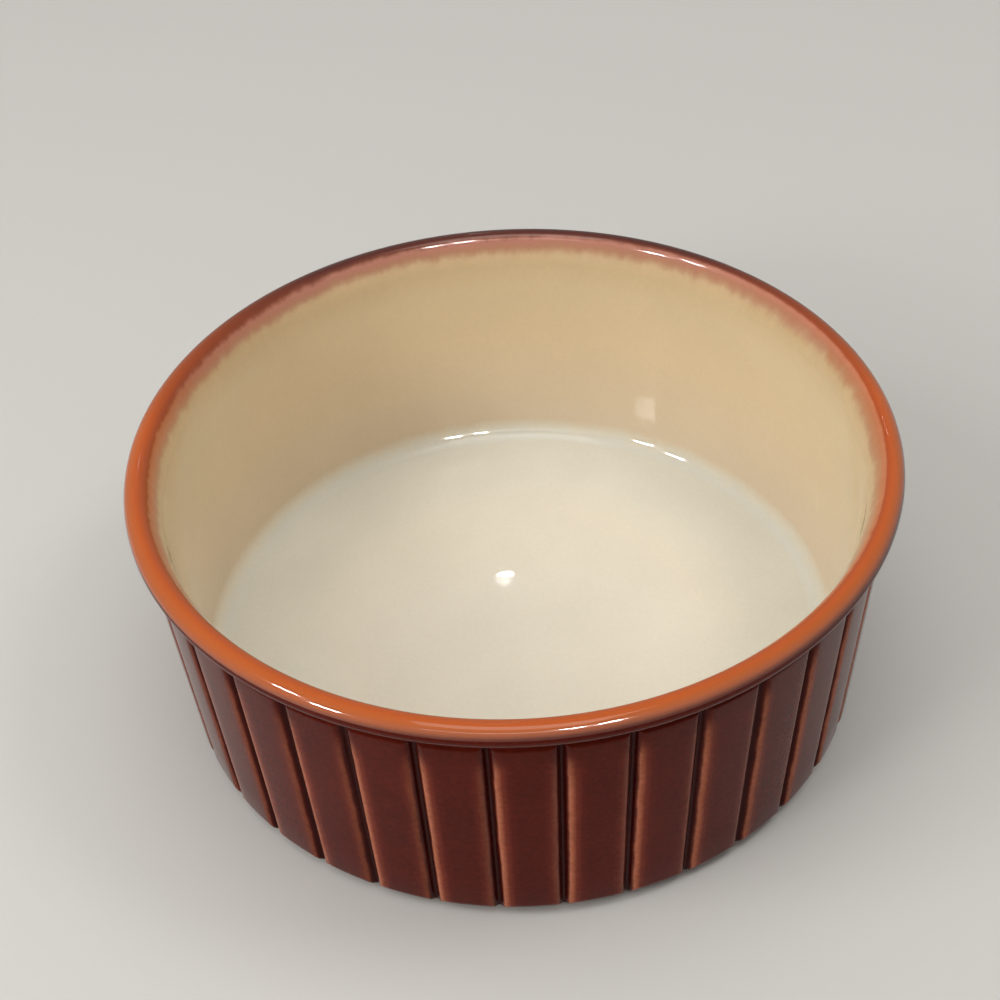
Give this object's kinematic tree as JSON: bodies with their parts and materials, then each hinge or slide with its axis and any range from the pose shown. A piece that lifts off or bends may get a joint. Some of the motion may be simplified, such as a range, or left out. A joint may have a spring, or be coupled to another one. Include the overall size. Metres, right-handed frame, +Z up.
{
  "type": "casserole dish",
  "caption": "Round ribbed stoneware casserole dish with a rolled lip and a foot ring, open at the top, glazed brown outside and cream inside, for baking and serving.",
  "frame": {"origin": "on the dish's axis at table level, in the plane of the foot ring's bottom", "axes": "+Z up along the axis of the dish; +X through the middle of a panel"},
  "size_m": [0.2, 0.2, 0.077],
  "materials": {
    "fired_clay": "bare fired stoneware, matt",
    "cream_glaze": "glossy cream glaze",
    "amber_glaze": "glossy amber iron glaze",
    "brown_glaze": "glossy dark reddish brown iron glaze"
  },
  "bodies": {
    "root": {"stoneware_body": "fired_clay", "inside_glaze": "cream_glaze", "rim_glaze": "amber_glaze", "outside_glaze": "brown_glaze", "underside_glaze": "brown_glaze"}
  },
  "joints": []
}
